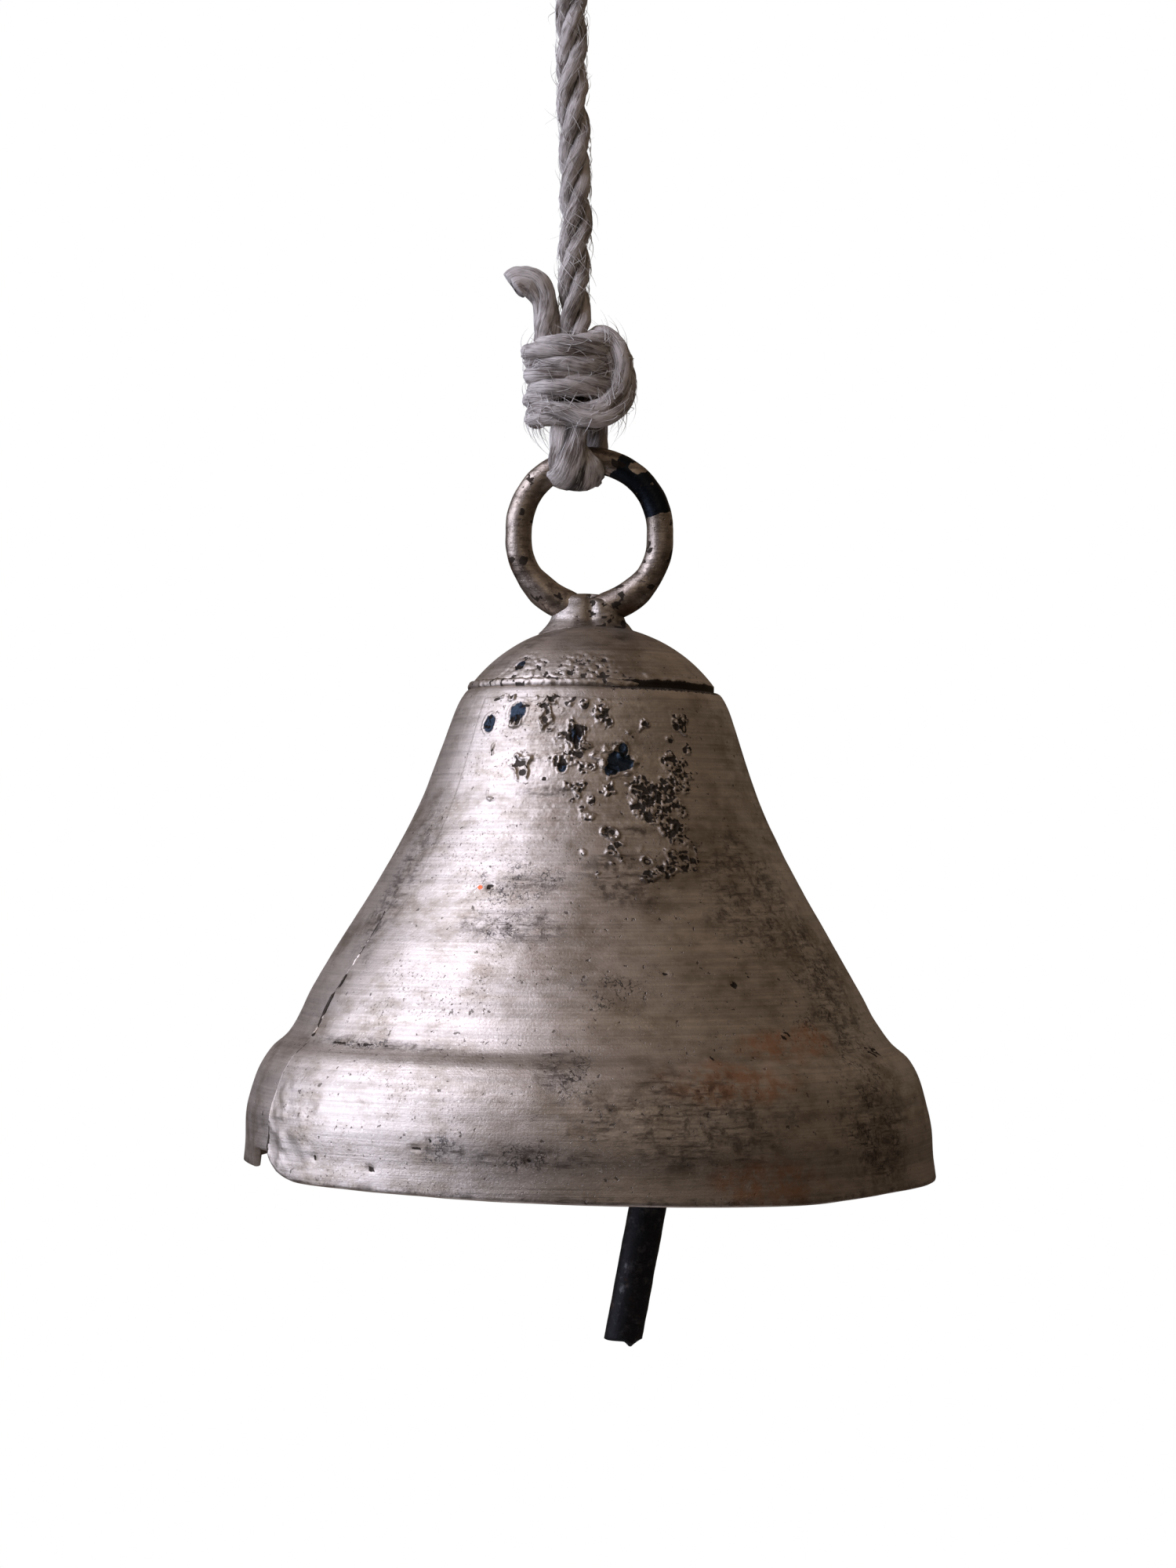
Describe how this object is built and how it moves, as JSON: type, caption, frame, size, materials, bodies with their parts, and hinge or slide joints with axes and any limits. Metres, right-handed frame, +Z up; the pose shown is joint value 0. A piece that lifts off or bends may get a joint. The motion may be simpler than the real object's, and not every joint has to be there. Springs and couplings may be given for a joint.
{
  "type": "hanging bell",
  "caption": "Small rustic flared sheet-metal bell with a lapped side seam and loose clapper, hung by its ring on a knotted jute rope from a ceiling hook.",
  "frame": {"origin": "middle of the ceiling plate's flat top face, from which everything hangs", "axes": "+Z up, -Y towards the viewer, +X to the viewer's right; the hanging ring lies in the XZ plane"},
  "size_m": [0.1087, 0.1086, 0.2771],
  "materials": {
    "brass_wash": "brass-washed iron sheet, dull brown with fine turned lines",
    "ring_metal": "brass-washed iron rod with bare dark patches",
    "braze": "rough run brass",
    "black_iron": "black scaled iron",
    "forged_iron": "dark forged iron",
    "jute": "natural twisted jute"
  },
  "bodies": {
    "ceiling_fitting": {"ceiling_plate": "forged_iron", "ceiling_hook": "forged_iron"},
    "rope": {"upper_loop": "jute", "upper_knot": "jute", "upper_tail": "jute", "rope_line": "jute"},
    "rope_end": {"lower_knot": "jute", "lower_tail": "jute", "lower_loop": "jute"},
    "bell": {"bell_body": "brass_wash", "crown_dome": "brass_wash", "hanging_ring": "ring_metal", "neck_braze": "braze", "seam_braze": "braze", "crown_braze": "braze"},
    "link": {"clapper_link": "black_iron"},
    "clapper": {"clapper": "black_iron"}
  },
  "joints": [
    {"name": "rope_swing", "type": "hinge", "parent": "ceiling_fitting", "child": "rope", "pos_m": [0, 0, -0.0376], "axis": [0, 1, 0], "range_deg": [-50, 50]},
    {"name": "rope_twist", "type": "hinge", "parent": "rope", "child": "rope_end", "pos_m": [0, 0, -0.1157], "axis": [0, 0, 1], "range_deg": [-170, 170]},
    {"name": "bell_rock", "type": "hinge", "parent": "rope_end", "child": "bell", "pos_m": [0.0006, 0, -0.13665], "axis": [1, 0, 0], "range_deg": [-60, 60]},
    {"name": "link_swing", "type": "hinge", "parent": "bell", "child": "link", "pos_m": [0.0141, 0, -0.18565], "axis": [1, 0, 0], "range_deg": [-16, 16]},
    {"name": "clapper_swing", "type": "hinge", "parent": "link", "child": "clapper", "pos_m": [0.0141, 0, -0.19655], "axis": [0, 1, 0], "range_deg": [-33, 41]}
  ]
}
